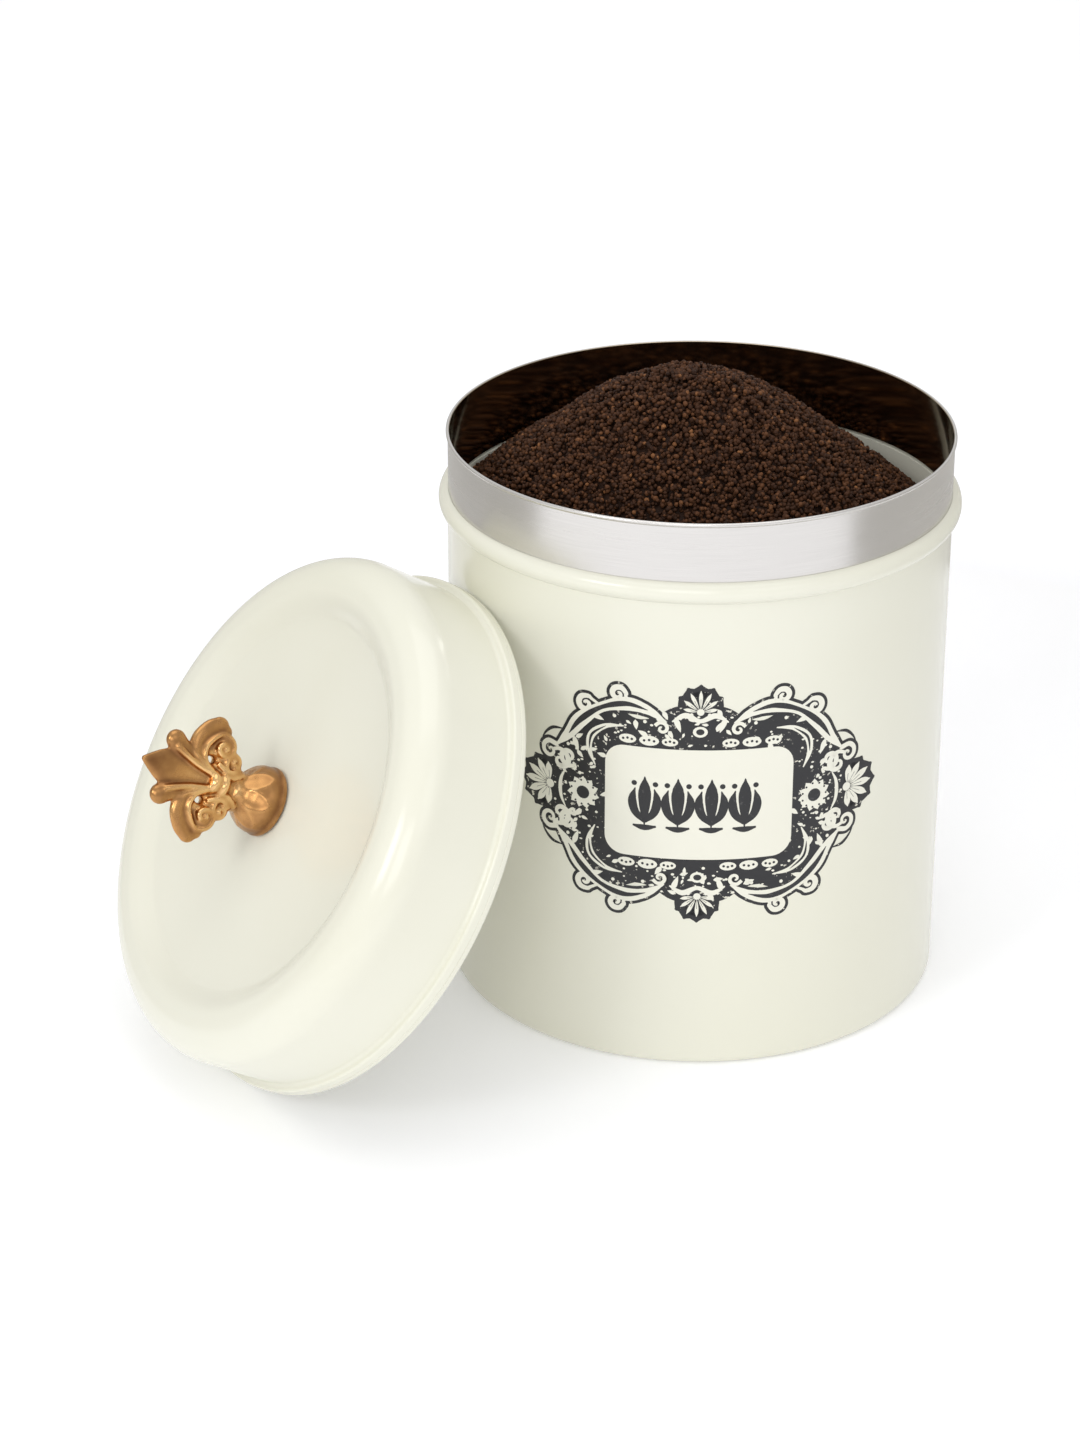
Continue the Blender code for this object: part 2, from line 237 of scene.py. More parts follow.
# %% [markdown]
# ## Finishes
#
# Baked enamel is smooth but never flat: it has a faint ripple, like the skin of an orange, and its
# colour drifts a little. Both come from noise at two very different scales.


# %% Cream enamel
def cream_enamel(name, light, deep):
    """Semi-gloss enamel whose colour drifts between two close creams."""
    made, shader, place = finish(name, IOR=1.5)
    drift = place.noise(9.0, 3.0).between(0.30, 0.75)
    mottle = place.noise(500.0, 2.0) * 0.15
    place.feed(shader.inputs["Base Color"], (drift * 0.8 + mottle).mix(light, deep))
    place.feed(shader.inputs["Roughness"], place.noise(30.0, 2.0) * 0.05 + 0.15)
    place.feed(shader.inputs["Normal"], place.noise(380.0, 1.0).bump(0.00001, 0.25))
    return made


ENAMEL = cream_enamel("cream_enamel", (0.803, 0.796, 0.688), (0.778, 0.766, 0.642))
print("enamel nodes:", len(ENAMEL.node_tree.nodes))

# %% [markdown]
# The collar is steel strip. Outside, a belt has left fine lines that run round it, so the lines are
# noise that is stretched along the circumference and squeezed along the height. Inside, the strip
# keeps the near-mirror it had from the rolling mill, and its colour is painted darker and browner as
# painted shade.


# %% Steel
def steel(name, colour, rough, line_depth):
    """Rolled steel with fine lines round the tin's axis."""
    made, shader, place = finish(name, Metallic=1.0)
    lines = place.stretched((60.0, 60.0, 9000.0)).noise(1.0, 3.0, 0.6)
    broad = place.stretched((14.0, 14.0, 220.0)).noise(1.0, 2.0)
    tint = tuple(channel * 0.93 for channel in colour)
    place.feed(shader.inputs["Base Color"], lines.between(0.3, 0.7).mix(colour, tint))
    place.feed(shader.inputs["Roughness"], (broad * 0.4 + lines * 0.2 + 0.7) * rough)
    place.feed(shader.inputs["Normal"], lines.bump(line_depth, 0.5))
    return made


STEEL_OUTSIDE = steel("satin_steel", (0.72, 0.70, 0.675), 0.26, 0.000002)
# inside the tin the same steel is painted darker and browner as painted shade
STEEL_INSIDE_SHADED = steel("shaded_mirror_steel", (0.40, 0.33, 0.24), 0.11, 0.000001)
ZINC = steel("bright_zinc", (0.62, 0.63, 0.63), 0.34, 0.000004)
print("steel finishes:", STEEL_OUTSIDE.name, STEEL_INSIDE_SHADED.name, ZINC.name)

# %% [markdown]
# The knob is a zinc casting under gilt paint. Its heart and its ridges are bright, and a brown wash
# has stayed in the hollows and on the outer tips. The darker hollows are partly painted shade, and
# the lighter ridges partly a painted highlight. The mesh of the knob carries a number at each point
# that says how much wash and painted shade there is, and the finish reads it.


# %% Antique gilt
def antique_gilt_with_shade(name):
    """Gilt under a brown wash with painted shade, as much of it as the attribute hollow says."""
    made, shader, place = finish(name, Metallic=1.0)
    hollow = place.add("Attribute", {"attribute_name": "hollow"}, {}, 2)
    grain = place.noise(900.0, 3.0, 0.6)
    cloud = place.noise(260.0, 3.0)
    # the brown wash is partly painted shade: darker in the hollows, lighter on the ridges
    wash_and_shade = (hollow + cloud.between(0.3, 0.75) * 0.12 - 0.06).between(0.0, 1.0)
    stops = [
        (0.0, (0.80, 0.50, 0.22)),
        (0.35, (0.54, 0.282, 0.104)),
        (1.0, (0.170, 0.070, 0.028)),
    ]
    ramp = place.add("ValToRGB", {"stops": stops}, {0: wash_and_shade})
    place.feed(shader.inputs["Base Color"], ramp)
    place.feed(shader.inputs["Roughness"], wash_and_shade * 0.16 + grain * 0.05 + 0.17)
    place.feed(shader.inputs["Normal"], (grain + cloud * 2.0).bump(0.00002, 0.25))
    return made


GILT = antique_gilt_with_shade("antique_gilt_with_shade")
print("gilt nodes:", len(GILT.node_tree.nodes))

# %% [markdown]
# The ornament is printed on the enamel in one dark ink. Blocks print unevenly, so small flecks of
# the cream show through the broad ground, and the fine lines are nearly solid. A cream a little
# paler than the wall is for the scrolls drawn on the dark.


# %% Ink
def ink(name, dark, bare):
    """Dark ink with flecks of the enamel showing through."""
    made, shader, place = finish(name, IOR=1.45)
    fleck = place.noise(900.0, 2.0, 0.55).between(0.63, 0.67)
    cloud = place.noise(150.0, 2.0).between(0.42, 0.60)
    place.feed(shader.inputs["Base Color"], (fleck * cloud).mix(dark, bare))
    place.feed(shader.inputs["Roughness"], place.noise(300.0, 2.0) * 0.15 + 0.38)
    return made


INK = ink("dark_ink", (0.022, 0.022, 0.024), (0.70, 0.68, 0.58))
FINE_INK = ink("fine_ink", (0.024, 0.024, 0.026), (0.06, 0.06, 0.06))
PRINT_CREAM = cream_enamel("print_cream", (0.825, 0.815, 0.715), (0.800, 0.785, 0.670))
print("print finishes:", INK.name, FINE_INK.name, PRINT_CREAM.name)

# %% [markdown]
# The contents are small rolled granules. Most are nearly black and a few are foxy brown. Each has
# one shade, so the mesh gives each granule a number of its own, and a fine noise roughens it.


# %% Granules
def rolled_granules(name):
    """Dark rolled grains, each with its own shade from the attribute shade."""
    made, shader, place = finish(name, IOR=1.22)
    shade = place.add("Attribute", {"attribute_name": "shade"}, {}, 2)
    rough = place.noise(2600.0, 2.0, 0.6)
    stops = [
        (0.0, (0.020, 0.008, 0.004)),
        (0.5, (0.068, 0.028, 0.013)),
        (0.85, (0.135, 0.056, 0.024)),
        (1.0, (0.30, 0.130, 0.050)),
    ]
    ramp = place.add("ValToRGB", {"stops": stops}, {0: shade + rough * 0.18 - 0.09})
    place.feed(shader.inputs["Base Color"], ramp)
    place.feed(shader.inputs["Roughness"], rough * 0.2 + 0.45)
    place.feed(shader.inputs["Normal"], rough.bump(0.0003, 0.5))
    return made


GRANULE = rolled_granules("rolled_granules")
print("granule nodes:", len(GRANULE.node_tree.nodes))

# %% [markdown]
# ## Helpers for shapes
#
# Nearly every piece here is turned. Its section is drawn once as a closed loop beside the axis,
# with true arcs where the sheet is bent, and spun round in enough steps for the outline to look
# round.


# %% Turning
FACETS = 224


def arc(centre, radius, start, end, steps):
    """Points (r, z) along an arc, angles in degrees from +r towards +z."""
    swept = []
    for step in range(steps + 1):
        angle = math.radians(start + (end - start) * step / steps)
        swept.append((centre[0] + radius * math.cos(angle), centre[1] + radius * math.sin(angle)))
    return swept


def turned(section, facets=FACETS):
    """Spins a closed loop of (r, z) points once round the Z axis."""
    body = bmesh.new()
    points = [body.verts.new((r, 0.0, z)) for r, z in section]
    edges = [body.edges.new(pair) for pair in zip(points, points[1:] + points[:1])]
    bmesh.ops.spin(
        body,
        geom=points + edges,
        cent=(0, 0, 0),
        axis=(0, 0, 1),
        angle=2 * math.pi,
        steps=facets,
        use_merge=True,
    )
    bmesh.ops.remove_doubles(body, verts=body.verts, dist=1e-7)  # closes the poles
    loose = [edge for edge in body.edges if not edge.link_faces]
    bmesh.ops.delete(body, geom=loose, context="EDGES")
    bmesh.ops.recalc_face_normals(body, faces=body.faces)
    return body


def placed(name, body, finishes=()):
    """Turns a shaped mesh into an object of the scene."""
    mesh = bpy.data.meshes.new(name)
    body.to_mesh(mesh)
    body.free()
    for one in finishes:
        mesh.materials.append(one)
    made = bpy.data.objects.new(name, mesh)
    bpy.context.scene.collection.objects.link(made)
    return made


def piece(name, body, finishes, rides, stands_for=(), smooth=32.0):
    """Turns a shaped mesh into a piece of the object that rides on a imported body."""
    made = placed(name, body, finishes)
    made.data.shade_smooth()
    made.data.set_sharp_from_angle(angle=math.radians(smooth))
    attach(made, rides)
    if stands_for:
        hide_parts(*stands_for)
    print(name, "has", len(made.data.polygons), "faces")
    return made


# %% [markdown]
# ## What stands round the tin
#
# A wide pale floor runs under everything and glows faintly, so that it stays white. Two curved grey
# cards stand out of sight beside the tin, because bare steel looks like what it mirrors.

# %% Floor
FLOOR_GLOW = 0.18
FLOOR_HALF = 6.0
FLOOR_DROP = 0.1 * MM  # just clear of the base
floor_finish, floor_shader, floor_place = finish("pale_floor", Roughness=0.9, IOR=1.3)
floor_shader.inputs["Emission Color"].default_value = WHITE
floor_shader.inputs["Emission Strength"].default_value = FLOOR_GLOW
floor_tone = floor_place.noise(3.0, 2.0).mix((0.90, 0.905, 0.93), (0.92, 0.925, 0.95))
floor_place.feed(floor_shader.inputs["Base Color"], floor_tone)

floor_mesh = bmesh.new()
bmesh.ops.create_grid(floor_mesh, x_segments=8, y_segments=8, size=FLOOR_HALF)
bmesh.ops.translate(floor_mesh, verts=floor_mesh.verts, vec=(0, 0, -FLOOR_DROP))
placed("floor", floor_mesh, [floor_finish])
print("the floor is", 2 * FLOOR_HALF, "m wide")


# %% Grey cards
CARD_STEPS = 24
CARD = finish("grey_card", Roughness=1.0, IOR=1.0, Base_Color=(0.60, 0.59, 0.57))[0]


def grey_card(name, start, end, radius, height):
    """A card bent about the tin's axis between two angles, seen only in what mirrors it."""
    card = bmesh.new()
    foot = []
    for step in range(CARD_STEPS + 1):
        angle = math.radians(start + (end - start) * step / CARD_STEPS)
        foot.append(card.verts.new((radius * math.sin(angle), -radius * math.cos(angle), 0.0)))
    edges = [card.edges.new(pair) for pair in zip(foot, foot[1:])]
    raised = bmesh.ops.extrude_edge_only(card, edges=edges)["geom"]
    top = [item for item in raised if isinstance(item, bmesh.types.BMVert)]
    bmesh.ops.translate(card, verts=top, vec=(0, 0, height))
    made = placed(name, card, [CARD])
    made.visible_camera = False
    made.visible_shadow = False
    print(name, "from", start, "to", end, "degrees")


grey_card("card_right", 62, 165, 0.30, 0.24)
grey_card("card_left", -165, -72, 0.34, 0.24)

# %% [markdown]
# ## The tin's wall
#
# One sheet, rolled and folded. It is turned in under the tin at the foot, and its upper edge is
# rolled outwards into a bead that closes on the collar. A very low swell runs round just below the
# bead.

# %% Wall
SHEET = 0.5 * MM
bead_round = 3.0 * MM
bead_inset = 0.6 * MM  # from the wall's face in to the centre of the bead's roll
bead_centre = body_radius - bead_inset
collar_face = lip_radius - 0.9 * MM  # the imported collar's edge curls out by this much
bead_mouth = collar_face + 0.05 * MM  # the bead closes on the collar
bead_level = body_height - math.sqrt(bead_round**2 - (bead_mouth - bead_centre) ** 2)
base_corner = 2.4 * MM
lip_edge = body_radius - base_corner - 4.0 * MM


def wall_section():
    """The wall from the turned-in lip up the outside, round the bead and down the inside."""
    corner = (body_radius - base_corner, base_corner)
    roll = (bead_centre, bead_level)
    inner = bead_round - SHEET
    start = -math.degrees(math.acos(bead_inset / bead_round))
    end = math.degrees(math.acos((bead_mouth - bead_centre) / bead_round))
    inner_end = math.degrees(math.acos((bead_mouth - bead_centre) / inner))
    neck = bead_level + bead_round * math.sin(math.radians(start))
    outside = [(lip_edge, 0.0)] + arc(corner, base_corner, -90, 0, 8)
    swell = 0.12 * MM
    outside += [(body_radius, neck - 0.8 * MM), (body_radius + swell, neck - 0.1 * MM)]
    outside += arc(roll, bead_round, start + 8, end, 20)
    inside = arc(roll, inner, inner_end, -90, 14)
    inside += arc(corner, base_corner - SHEET, 0, -90, 6) + [(lip_edge, SHEET)]
    return outside + inside


wall = turned(wall_section())
piece("tin_wall", wall, [ENAMEL], "canister", ["canister_wall"])

# %% [markdown]
# ## Base pan and collar
#
# The base is a pressed pan. Shallow rings are pressed into it so that it does not drum. The collar
# is a straight strip with a small round edge at its top, and the lid slides over it. Its inner face
# is given the mirror finish, painted darker as painted shade, and the rest the satin one.


# %% Base pan
def pan_section():
    """A floor with two pressed rings, joggled over the wall's lip, and a flange up the wall."""
    gap = 0.3 * MM
    corner = (body_radius - base_corner, base_corner)
    outer = base_corner - SHEET - gap
    step_up = SHEET + gap
    foot = lip_edge - gap
    under = [(0.0, 0.0)]
    steps, pace, tall = 8, 0.6 * MM, 0.9 * MM
    for ring in (22 * MM, 48 * MM):  # each ring is a low wave in the sheet
        for step in range(steps + 1):
            wave = (1 - math.cos(step / steps * 2 * math.pi)) / 2
            under.append((ring + (step - steps // 2) * pace, tall * wave))
    under += [(foot - step_up, 0.0), (foot, step_up)]
    over = [(r, z + SHEET) for r, z in reversed(under)]
    flange_top = corner[1] + 6.5 * MM
    rim = arc(corner, outer, -90, 0, 5)
    rim += [(pan_radius, flange_top), (pan_radius - SHEET, flange_top)]
    return under + rim + arc(corner, outer - SHEET, 0, -90, 4) + over


piece("base_pan_fine", turned(pan_section()), [ENAMEL], "canister", ["base_pan"])


# %% Collar
def collar_section():
    """The strip and its round edge. Two points under that keep the tall face's shading flat."""
    inside = collar_face - 0.4 * MM
    curl = 0.5 * MM
    edge = (collar_face, neck_top - curl)
    outside = [(collar_face, collar_tail), (collar_face, edge[1] - 1.5 * curl)]
    outside += arc(edge, curl, -60, 150, 14)
    under_edge = [(inside, neck_top - 0.7 * MM), (inside, neck_top - 1.1 * MM)]
    return outside + under_edge + [(inside, collar_tail)]


collar = turned(collar_section())
inner_faces = 0
for face in collar.faces:
    middle = face.calc_center_median()
    if face.normal.dot(Vector((middle.x, middle.y, 0)).normalized()) < -0.5:
        face.material_index = 1
        inner_faces += 1
print("mirror faces inside the collar:", inner_faces)
steels = [STEEL_OUTSIDE, STEEL_INSIDE_SHADED]
piece("collar_fine", collar, steels, "canister", ["neck_collar"], 24.0)

# %% [markdown]
# ## The lid
#
# The lid is drawn from one disc: a flat panel, a soft rise to the crown, a big round shoulder and a
# straight skirt. The skirt's edge is rolled into a hem, which stands proud and shows a fine line
# where it closes. The section is drawn about the lid's own axis and then leaned over with it. The
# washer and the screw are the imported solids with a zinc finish.

# %% Lid shell
LID_SHEET = 0.45 * MM
lid_height = 32.9 * MM
skirt_radius = 71.5 * MM
shoulder_round = 9.6 * MM
panel_slope = 8.0 * MM
panel_radius = skirt_radius - shoulder_round - 1.9 * MM - panel_slope
hem_radius = skirt_radius + 2.2 * MM
hem_height = 3.8 * MM
screw_hole = 2.3 * MM


def lid_top_line(offset):
    """The panel, its rise and the shoulder, from the middle outwards."""
    low = panel_top - offset
    line = [(screw_hole, low), (panel_radius * 0.6, low)]
    steps = 12
    for step in range(steps + 1):  # the panel ends in a crisp line, and the rise rolls over softly
        share = step / steps
        rise = math.sin(share * math.pi / 2) ** 1.35
        line.append((panel_radius + panel_slope * share, low + (lid_height - panel_top) * rise))
    shoulder = (skirt_radius - shoulder_round, lid_height - shoulder_round)
    return line + arc(shoulder, shoulder_round - offset, 90, 0, 18)


def lid_section():
    """Top, skirt and rolled hem, then back along the inside."""
    soft = 0.7 * MM
    hollow, hollow_height = 1.0 * MM, hem_height + 1.4 * MM
    line = lid_top_line(0.0) + [(skirt_radius, hollow_height)]
    line += arc((skirt_radius + hollow, hollow_height), hollow, 180, 270, 4)[1:]
    line += arc((hem_radius - soft, hem_height - soft + 0.4 * MM), soft, 90, 0, 5)
    seam, deep, half_wide = 1.75 * MM, 0.14 * MM, 0.15 * MM
    line += [(hem_radius, seam + half_wide), (hem_radius - deep, seam), (hem_radius, seam - half_wide)]
    line += arc((hem_radius - soft, soft), soft, 0, -90, 5)
    inside = skirt_radius - LID_SHEET
    line += [(inside + soft, 0.0), (inside, soft)]
    return line + list(reversed(lid_top_line(LID_SHEET)))


lid = turned(lid_section())
bmesh.ops.transform(lid, matrix=LID_PLACE, verts=lid.verts)
piece("lid_fine", lid, [ENAMEL], "lid", ["lid_shell"])

for node in ("lid_washer", "knob_screw"):
    frame["nodes"][node].data.materials.clear()
    frame["nodes"][node].data.materials.append(ZINC)
    print(node, "is zinc")

# %% [markdown]
# ## The knob
#
# The fleur-de-lis is one casting: a bell-shaped foot, a band tied round the waist, a three-lobed
# middle petal and two side petals whose edges roll into curls. Sculptors build such a shape from
# rolls of clay that they press together. Here the rolls are rods of changing thickness, and a voxel
# remesh presses them into one skin, which is then smoothed as a casting is. Sizes here are in
# millimetres until then.


# %% Clay rolls
def smooth_line(points, steps):
    """A smooth line through every point, ends included."""
    padded = [points[0]] + list(points) + [points[-1]]
    line = []
    for index in range(1, len(padded) - 2):
        before, here, there, after = (Vector(p) for p in padded[index - 1 : index + 3])
        for step in range(steps):
            t = step / steps
            bend = (2 * before - 5 * here + 4 * there - after) * t**2
            twist = (3 * here - before - 3 * there + after) * t**3
            line.append(0.5 * (2 * here + (there - before) * t + bend + twist))
    return line + [Vector(points[-1])]


def roll(body, spine, steps=5, sides=14):
    """A closed rod through (across, along, front, width, depth) points, in millimetres."""
    line = smooth_line(spine, steps)
    rings = []
    for index, at in enumerate(line):
        ahead = line[min(index + 1, len(line) - 1)]
        behind = line[max(index - 1, 0)]
        along = Vector((ahead[0] - behind[0], behind[2] - ahead[2], ahead[1] - behind[1])).normalized()
        across = Vector((0, -1, 0)).cross(along).normalized()
        depth = along.cross(across)
        turn = Matrix((across * at[3], depth * at[4], along)).transposed().to_4x4()
        place = Matrix.Translation((at[0], -at[2], at[1])) @ turn
        ring = bmesh.ops.create_circle(body, segments=sides, radius=1.0, matrix=place)
        rings.append(list({edge for vert in ring["verts"] for edge in vert.link_edges}))
    for first, second in zip(rings, rings[1:]):
        bmesh.ops.bridge_loops(body, edges=first + second)
    for end in (rings[0], rings[-1]):
        bmesh.ops.edgeloop_fill(body, edges=end)


def ball(body, at, size):
    """A pressed ball of clay: (across, along, front) and its three half sizes, in millimetres."""
    stretch = Matrix.Diagonal((size[0], size[2], size[1], 1.0))
    place = Matrix.Translation((at[0], -at[2], at[1])) @ stretch
    bmesh.ops.create_uvsphere(body, u_segments=20, v_segments=12, radius=1.0, matrix=place)


# %% Middle petal and side petals
def rolls_on_both_faces(side, spine):
    """A thin ridge on the front and the same on the back: (across, along, front, width, depth)."""
    for face in (-1, 1):
        roll(clay, [(side * x, z, face * y, width, depth) for x, z, y, width, depth in spine])


def flat_roll(side, spine):
    """A thick part in the middle of the casting: (across, along, width, depth)."""
    roll(clay, [(side * x, z, 0.0, width, depth) for x, z, width, depth in spine])


clay = bmesh.new()
MIDDLE_PETAL = [(0, 18, 1.6, 2.5), (0, 24, 3.2, 1.5), (0, 30, 5.0, 1.2), (0, 34.6, 4.7, 1.1)]
MIDDLE_PETAL += [(0, 38.2, 2.6, 1.0), (0, 40.9, 0.6, 0.7)]
LOBE = [(1.4, 18.5, 1.5, 2.6), (3.4, 25.0, 2.3, 1.9), (5.5, 29.6, 2.9, 1.7), (7.1, 32.4, 3.1, 1.7)]
LOBE_RIDGE = [(1.9, 19.8, 2.4, 0.9, 1.1), (3.0, 25.0, 2.1, 0.9, 0.9), (4.6, 29.6, 1.8, 1.0, 0.9)]
LOBE_RIDGE += [(6.2, 32.6, 1.4, 1.2, 0.8)]
FLANK = [(2.0, 19.6, 1.5, 2.3), (5.3, 25.0, 1.9, 2.0), (9.4, 26.1, 2.4, 1.6), (13.4, 23.5, 2.7, 1.4)]
FLANK += [(15.6, 20.9, 2.0, 1.2)]
OUTER_RIDGE = [(6.6, 27.8, 0.7, 0.7, 0.8), (4.7, 25.2, 1.8, 0.8, 0.9), (2.3, 20.4, 2.6, 0.9, 1.0)]
RIM = [(2.8, 20.2, 1.9, 0.8, 0.9), (4.8, 23.3, 1.9, 0.8, 0.9), (8.2, 24.1, 1.8, 0.8, 0.9)]
RIM += [(11.2, 22.3, 1.5, 0.8, 0.9), (13.4, 19.6, 1.0, 0.7, 0.9)]
BIG_CURL = [(13.0, 19.6, 0.8, 0.9, 1.2), (12.3, 17.2, 1.3, 1.0, 1.3), (10.2, 15.9, 1.5, 1.0, 1.3)]
BIG_CURL += [(7.9, 16.9, 1.7, 0.9, 1.1), (7.6, 19.2, 1.9, 0.8, 1.0), (9.2, 20.5, 2.0, 0.8, 1.0)]
BIG_CURL += [(10.7, 19.4, 2.1, 0.7, 0.9)]
SMALL_CURL = [(4.9, 16.5, 2.0, 0.8, 1.0), (6.9, 16.9, 1.9, 0.8, 1.0), (8.6, 15.3, 1.6, 0.8, 1.1)]
SMALL_CURL += [(8.1, 13.4, 1.5, 0.8, 1.1), (6.2, 12.9, 1.7, 0.8, 1.0), (5.7, 14.5, 1.9, 0.7, 0.9)]
FOLD = [(5.2, 19.3, 1.7, 0.8, 1.0), (3.9, 16.8, 2.4, 0.8, 0.9), (4.1, 14.0, 2.3, 0.8, 0.9)]
FOLD += [(5.3, 11.8, 1.4, 0.8, 1.0)]
LOW_FOLD = [(2.2, 15.4, 2.8, 0.9, 0.9), (3.0, 12.8, 2.7, 0.9, 0.9), (4.3, 10.4, 1.7, 0.9, 1.1)]
CHEEK = [(3.0, 15.4, 1.9, 2.5), (4.1, 12.2, 1.8, 2.3), (4.0, 9.2, 1.5, 2.1)]
NECK = [(0, 8.6, 4.6, 4.6), (0, 11.0, 3.8, 3.5), (0, 14.0, 3.4, 3.1), (0, 17.0, 3.0, 3.0)]
EYE = (5.6, 21.2)  # the small hole in each side petal
BALLS = [((7.5, 32.6), (2.9, 3.0, 1.9))]  # end of the lobe
BALLS += [((15.3, 21.0), (2.3, 2.7, 1.3)), ((13.9, 19.0), (2.1, 2.2, 1.4))]  # tip of the side petal
BALLS += [((11.0, 21.0), (4.2, 3.8, 1.3)), ((6.2, 27.0), (2.2, 2.4, 1.3))]  # the sheet inside it
BALLS += [((9.8, 18.2), (3.3, 3.1, 2.7)), ((7.0, 14.8), (2.7, 2.6, 2.6))]  # bodies of the two curls
BALLS += [((4.6, 16.8), (2.2, 2.6, 2.4)), ((6.3, 18.0), (2.3, 1.6, 2.1))]  # between curls and waist
CURL_HEARTS = [((9.3, 18.3), (1.0, 1.0, 0.9)), ((7.0, 14.9), (0.9, 0.9, 0.8))]
CURL_HEART_FRONT = 2.3
flat_roll(1, MIDDLE_PETAL)
flat_roll(1, NECK)
for side in (-1, 1):
    for spine in (LOBE, FLANK, CHEEK):
        flat_roll(side, spine)
    for spine in (LOBE_RIDGE, OUTER_RIDGE, RIM, BIG_CURL, SMALL_CURL, FOLD, LOW_FOLD):
        rolls_on_both_faces(side, spine)
    for (x, z), size in BALLS:
        ball(clay, (side * x, z, 0), size)
    loop = arc((0, 0), 1, 0, 360, 12)
    flat_roll(side, [(EYE[0] + 2.05 * r, EYE[1] + 2.25 * z, 1.15, 1.7) for r, z in loop])
    for face in (-1, 1):
        for (x, z), size in CURL_HEARTS:
            ball(clay, (side * x, z, face * CURL_HEART_FRONT), size)
print("clay rolls:", len(clay.verts), "points")


# %% Band
def pressed_in(part):
    """Adds one shaped part to the clay."""
    carried = bpy.data.meshes.new("part")
    part.to_mesh(carried)
    part.free()
    clay.from_mesh(carried)
    bpy.data.meshes.remove(carried)


for height, around in ((16.3, 1.0), (19.1, 0.94)):  # two rounded turns about the waist
    band = turned(arc((3.1, height), 1.6, 0, 360, 16)[:-1], 28)
    bmesh.ops.scale(band, vec=(0.84 * around, 1.12 * around, 1.0), verts=band.verts)
    pressed_in(band)
ball(clay, (0, 17.8, 0), (2.6, 2.6, 3.6))
print("clay with its band:", len(clay.verts), "points")


# %% Foot
def foot_section():
    """The bell: a round rim, a shallow groove and a full sweep up to the neck, in millimetres."""
    line = [(0.0, 0.0), (9.4, 0.0)] + arc((9.0, 1.0), 0.85, -50, 50, 6)
    line += [(9.35, 2.0), (9.45, 2.7), (9.3, 3.7), (8.9, 4.9), (8.1, 6.2), (7.0, 7.5)]
    return line + [(5.8, 8.6), (4.8, 9.6), (4.2, 10.8), (3.8, 12.5), (0.0, 12.5)]


foot = turned(foot_section(), 48)
LEAVES = 7
LEAF_LINE = [(4.7, 9.5), (6.2, 8.1), (7.6, 6.6), (8.55, 5.2), (9.05, 4.0)]
LEAF_EDGE = 0.44  # half thickness of the ridge along a leaf's edge
for leaf_number in range(LEAVES):  # low pointed leaves that lap over the bell
    middle = 2 * math.pi * leaf_number / LEAVES
    for lean in (-1, 1):
        line = []
        for step, (radius, height) in enumerate(LEAF_LINE):
            share = step / (len(LEAF_LINE) - 1)
            angle = middle + lean * math.pi / LEAVES * (1 - share**1.6)
            at = (radius * math.cos(angle), height, radius * math.sin(angle))
            line.append((*at, LEAF_EDGE, LEAF_EDGE))
        roll(foot, line, 2, 8)
pressed_in(foot)
bmesh.ops.scale(clay, vec=(MM, MM, MM), verts=clay.verts)
print("clay with its foot:", len(clay.verts), "points")


# %% Press the clay into one skin
def pressed(body, voxel, passes):
    """One closed skin round everything in the mesh, smoothed a little."""
    holder = placed("clay", body)
    mesh = holder.data
    step = holder.modifiers.new("press", "REMESH")
    step.mode = "VOXEL"
    step.voxel_size = voxel
    seen = holder.evaluated_get(bpy.context.evaluated_depsgraph_get())
    skin = bmesh.new()
    skin.from_mesh(seen.to_mesh())
    seen.to_mesh_clear()
    bpy.data.objects.remove(holder)
    bpy.data.meshes.remove(mesh)
    for _ in range(passes):
        bmesh.ops.smooth_vert(
            skin, verts=skin.verts, factor=0.5, use_axis_x=True, use_axis_y=True, use_axis_z=True
        )
    return skin


def read(items, name, width, kind=float):
    """One property of a mesh's points or edges, as a table with a row for each."""
    table = np.empty(len(items) * width, kind)
    items.foreach_get(name, table)
    return table.reshape(-1, width)


def averaged(values, links, passes):
    """Replaces each point's values by the mean over its neighbours, again and again."""
    first, second = links.T
    number = np.bincount(links.T.ravel(), minlength=len(values))[:, None]
    for _ in range(passes):
        total = np.zeros(values.shape)
        np.add.at(total, first, values[second])
        np.add.at(total, second, values[first])
        values = total / number
    return values


def mark_wash_and_shade(made, heart):
    """Stores how brown each point is: most in the hollows, partly as painted shade, and at the outer
    tips.
    """
    mesh = made.data
    points = read(mesh.vertices, "co", 3)
    normals = read(mesh.vertices, "normal", 3)
    links = read(mesh.edges, "vertices", 2, int)
    reach, bright_within, fade = 0.5 * MM, 6.0 * MM, 17.0 * MM
    sunk = averaged(points, links, 8) - points
    hollow = (sunk * normals).sum(1) / reach
    away = np.linalg.norm(points - np.array(heart), axis=1)
    outer = np.clip((away - bright_within) / fade, 0, 1)
    # hollows darken as painted shade and ridges lighten as painted highlight, on top of the brown wash
    brown = 0.31 + 0.60 * outer + 1.3 * hollow
    brown = averaged(brown[:, None], links, 5)[:, 0]  # evens out the steps that voxels leave
    attribute = mesh.attributes.new("hollow", "FLOAT", "POINT")
    attribute.data.foreach_set("value", np.clip(brown, 0, 1).astype(np.float32))
    print("hollow from", round(float(hollow.min()), 2), "to", round(float(hollow.max()), 2))


